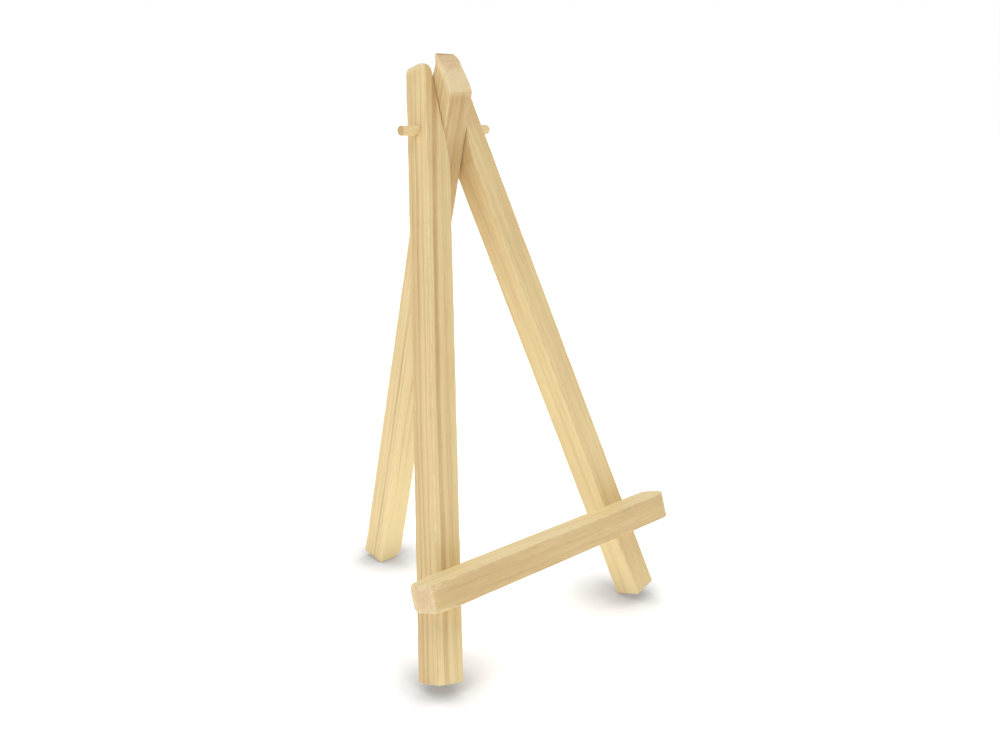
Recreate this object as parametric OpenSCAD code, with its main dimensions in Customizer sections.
// Small table-top artist easel of square pine sticks.
// Two splayed front legs carry a ledge for the picture. A rear leg swings on a
// dowel that runs through all three legs near their tops.
// Origin: centre of the footprint, on the table. +Z up, -Y towards the picture.

/* [Sticks] */
// Width and depth of every leg
stick = 12; // [11:0.5:13]
// Height of the front legs' tops, along the frame
leg_top = 240.8; // [234:0.2:243]
// Distance between the front feet, centre to centre
foot_spread = 118.2; // [117.6:0.2:124]
// Angle of each front leg from the middle plane
splay = 13.45; // [13.2:0.05:13.6]
// How far the front frame leans back
lean = 19; // [12:0.5:24]
// How far the rear leg's foot is swung back from upright
rear_lean = 10.7; // [6:0.1:20]
// Clearance between the rear leg and each front leg, where they meet on the dowel
side_gap = 0.3; // [0.2:0.1:0.6]

/* [Ends] */
// Rounding at the top of a front leg, picture side
top_front_r = 4.5; // [2:0.5:8]
// Rounding at the top of a front leg, back side
top_back_r = 2; // [1:0.5:3]
// Height of the slant on top of the rear leg, from its front edge to its back edge
slant_h = 12.8; // [10:0.2:15]
// Radius of the slant, which bulges slightly
slant_r = 45; // [25:1:80]
// Rounding on the right edge of the rear leg, at its top
rear_top_r = 3; // [1:0.5:4]
// Rounding on the left edge of the rear leg, at its top
rear_peak_r = 1; // [0.5:0.5:2]
// Rounding on the right edge of the rear leg, at its foot
rear_foot_r = 5.5; // [1:0.5:6]
// Rounding on the left edge of the rear leg, at its foot
rear_ease_r = 1; // [0.5:0.5:2]

/* [Ledge] */
// Length of the ledge
ledge_len = 140; // [132:1:150]
// Height of the ledge, along the legs
ledge_h = 10.7; // [9:0.1:12]
// How far the ledge stands out in front of the legs
ledge_d = 15; // [14:0.5:18]
// Distance from the table to the underside of the ledge, along the legs
ledge_up = 36.2; // [30:0.1:45]
// Large rounding on the front corner of the ledge, right end
ledge_front_r = 8; // [3:0.5:10]
// Small rounding on the other three corners of the ledge
ledge_corner_r = 2.5; // [1:0.5:4]

/* [Pivot] */
// Diameter of the dowel
dowel_d = 4; // [3:0.5:5]
// Length of the dowel
dowel_len = 48; // [44:1:56]
// Rounding on the rim of each dowel end
dowel_end_r = 0.8; // [0.3:0.1:1.2]
// Distance from the table to the dowel, along the front legs
dowel_up = 214.4; // [208:0.2:218]
// Length of the rear leg above the dowel
rear_above = 29.2; // [26:0.1:32]
// Gap between the dowel and the hole in the rear leg, on the radius
dowel_play = 0.06; // [0.02:0.01:0.1]

/* [Brads] */
// Diameter of a brad's shank
brad_d = 1.2; // [1:0.1:1.4]
// Diameter of a brad's head
brad_head_d = 2.2; // [2:0.1:2.6]
// Thickness of a brad's head
brad_head_h = 0.8; // [0.6:0.1:1]
// Depth of the brad's head below the back of the leg
brad_sink = 0.4; // [0.2:0.1:0.6]
// Length of a brad
brad_len = 22; // [20:1:24]

/* [Hidden] */
$fn = 64;
half = stick / 2;
margin = 1;
// Height of a front leg's lower end in the frame's own plane, so that its
// lowest corner just touches the table
foot_up = stick * tan(lean) + half * sin(splay);
// Dowel axis before the origin is moved to the middle of the footprint
pivot_y = half * cos(lean) + dowel_up * sin(lean);
pivot_z = dowel_up * cos(lean) - half * sin(lean);
// Length of the rear leg below the dowel, so that its front lower edge touches the table
rear_below = (pivot_z - half * sin(rear_lean)) / cos(rear_lean);
// Space between the flats on the front legs, where the rear leg swings
pivot_gap = stick + 2 * side_gap;
// Front-most and rear-most points of the whole easel
front_y = ledge_up * sin(lean) - ledge_d * cos(lean);
rear_y = pivot_y + rear_below * sin(rear_lean) + half * cos(rear_lean);
mid_y = (front_y + rear_y) / 2;
// Where the middle of each leg crosses the middle of the ledge
brad_up = ledge_up + ledge_h / 2;
brad_x = foot_spread / 2 - (brad_up - foot_up) * tan(splay);
pine = [0.87, 0.75, 0.52];
pine_dark = [0.83, 0.70, 0.47];
birch = [0.90, 0.80, 0.60];
steel = [0.62, 0.62, 0.64];

// Places a shape drawn in the frame's plane: X along the ledge, Y to the back, Z up the frame
module in_frame() {
    translate([0, -mid_y, 0])
        rotate([-lean, 0, 0])
            children();
}

// What a rounding of radius r takes off a corner at the origin, on the negative side of both axes
module corner_waste(r) {
    difference() {
        translate([-r, -r])
            square(r + margin);
        translate([-r, -r])
            circle(r);
    }
}

// The same waste as a bar along X, for a stick's upper back edge
module edge_waste(r) {
    rotate([90, 0, 90])
        translate([0, 0, -stick])
            linear_extrude(2 * stick)
                corner_waste(r);
}

// A round bar along X, centred on the origin
module cross_bar(r, length) {
    translate([-length / 2, 0, 0])
        rotate([0, 90, 0])
            cylinder(h = length, r = r);
}

// Puts a shape at both brads, with +Z along the shank towards the ledge
module at_brads() {
    for (side = [-1, 1])
        translate([side * brad_x, stick - brad_sink, brad_up])
            rotate([90, 0, 0])
                children();
}

module brad() {
    cylinder(h = brad_head_h, d = brad_head_d);
    cylinder(h = brad_len, d = brad_d);
}

// What a brad leaves in the wood: its own shape, open to the back of the leg
module brad_hole() {
    brad();
    translate([0, 0, -margin])
        cylinder(h = margin + brad_head_h, d = brad_head_d);
}

// One front leg, standing to the left of the middle. Its top is cut level and
// rounded across, after the splay is set.
module front_leg() {
    difference() {
        translate([-foot_spread / 2, 0, foot_up])
            rotate([0, splay, 0])
                translate([-half, 0, 0])
                    cube([stick, stick, leg_top + stick]);
        translate([-2 * stick, -margin, leg_top])
            cube([4 * stick, stick + 2 * margin, 4 * stick]);
        translate([0, 0, leg_top])
            mirror([0, 1, 0])
                edge_waste(top_front_r);
        translate([0, stick, leg_top])
            edge_waste(top_back_r);
        translate([-pivot_gap / 2, -margin, 0])
            cube([2 * stick, stick + 2 * margin, leg_top + 2 * stick]);
        translate([0, half, dowel_up])
            cross_bar(dowel_d / 2, 4 * stick);
        at_brads()
            brad_hole();
    }
}

module left_leg() {
    color(pine)
        in_frame()
            front_leg();
}

module right_leg() {
    color(pine)
        in_frame()
            mirror([1, 0, 0])
                front_leg();
}

// The same waste as a bar along Y, for a stick's upper right edge
module side_waste(r) {
    translate([0, stick, 0])
        rotate([90, 0, 0])
            linear_extrude(2 * stick)
                corner_waste(r);
}

module rear_leg() {
    color(pine_dark)
        translate([0, pivot_y - mid_y, pivot_z])
            rotate([rear_lean, 0, 0])
                difference() {
                    intersection() {
                        translate([-half, -half, -rear_below])
                            cube([stick, stick, rear_below + rear_above]);
                        slant_keep();
                    }
                    cross_bar(dowel_d / 2 + dowel_play, 2 * stick);
                    translate([half, 0, rear_above])
                        side_waste(rear_top_r);
                    translate([-half, 0, rear_above])
                        mirror([1, 0, 0])
                            side_waste(rear_peak_r);
                    translate([half, 0, -rear_below])
                        mirror([0, 0, 1])
                            side_waste(rear_foot_r);
                    translate([-half, 0, -rear_below])
                        mirror([1, 0, 0])
                            mirror([0, 0, 1])
                                side_waste(rear_ease_r);
                }
}

// Everything under the rear leg's slanted top. A large round bar passes through
// the top back edge, and through the front face where the slant begins.
module slant_keep() {
    chord = norm([stick, slant_h]);
    drop = sqrt(pow(slant_r, 2) - pow(chord / 2, 2)) / chord;
    translate([0, drop * slant_h, rear_above - slant_h / 2 - drop * stick])
        cross_bar(slant_r, 2 * stick);
    translate([-stick, -stick, -rear_below - margin])
        cube([2 * stick, 2 * stick, rear_below]);
}

// The ledge seen from above, as wide as it is deep, with its rounded corners
module ledge_plan() {
    difference() {
        translate([-ledge_len / 2, -ledge_d])
            square([ledge_len, ledge_d]);
        translate([ledge_len / 2, 0])
            corner_waste(ledge_corner_r);
        translate([-ledge_len / 2, 0])
            mirror([1, 0])
                corner_waste(ledge_corner_r);
        translate([-ledge_len / 2, -ledge_d])
            mirror([1, 0])
                mirror([0, 1])
                    corner_waste(ledge_corner_r);
        translate([ledge_len / 2, -ledge_d])
            mirror([0, 1])
                corner_waste(ledge_front_r);
    }
}

module ledge() {
    color(pine)
        in_frame()
            difference() {
                translate([0, 0, ledge_up])
                    linear_extrude(ledge_h)
                        ledge_plan();
                at_brads()
                    brad();
            }
}

// Half the outline of the dowel: its rim is rounded at each end
module dowel_outline() {
    difference() {
        translate([0, -dowel_len / 2])
            square([dowel_d / 2, dowel_len]);
        translate([dowel_d / 2, dowel_len / 2])
            corner_waste(dowel_end_r);
        translate([dowel_d / 2, -dowel_len / 2])
            mirror([0, 1])
                corner_waste(dowel_end_r);
    }
}

module pivot_dowel() {
    color(birch)
        in_frame()
            translate([0, half, dowel_up])
                rotate([0, 90, 0])
                    rotate_extrude()
                        dowel_outline();
}

module ledge_brads() {
    color(steel)
        in_frame()
            at_brads()
                brad();
}

left_leg();
right_leg();
rear_leg();
ledge();
pivot_dowel();
ledge_brads();
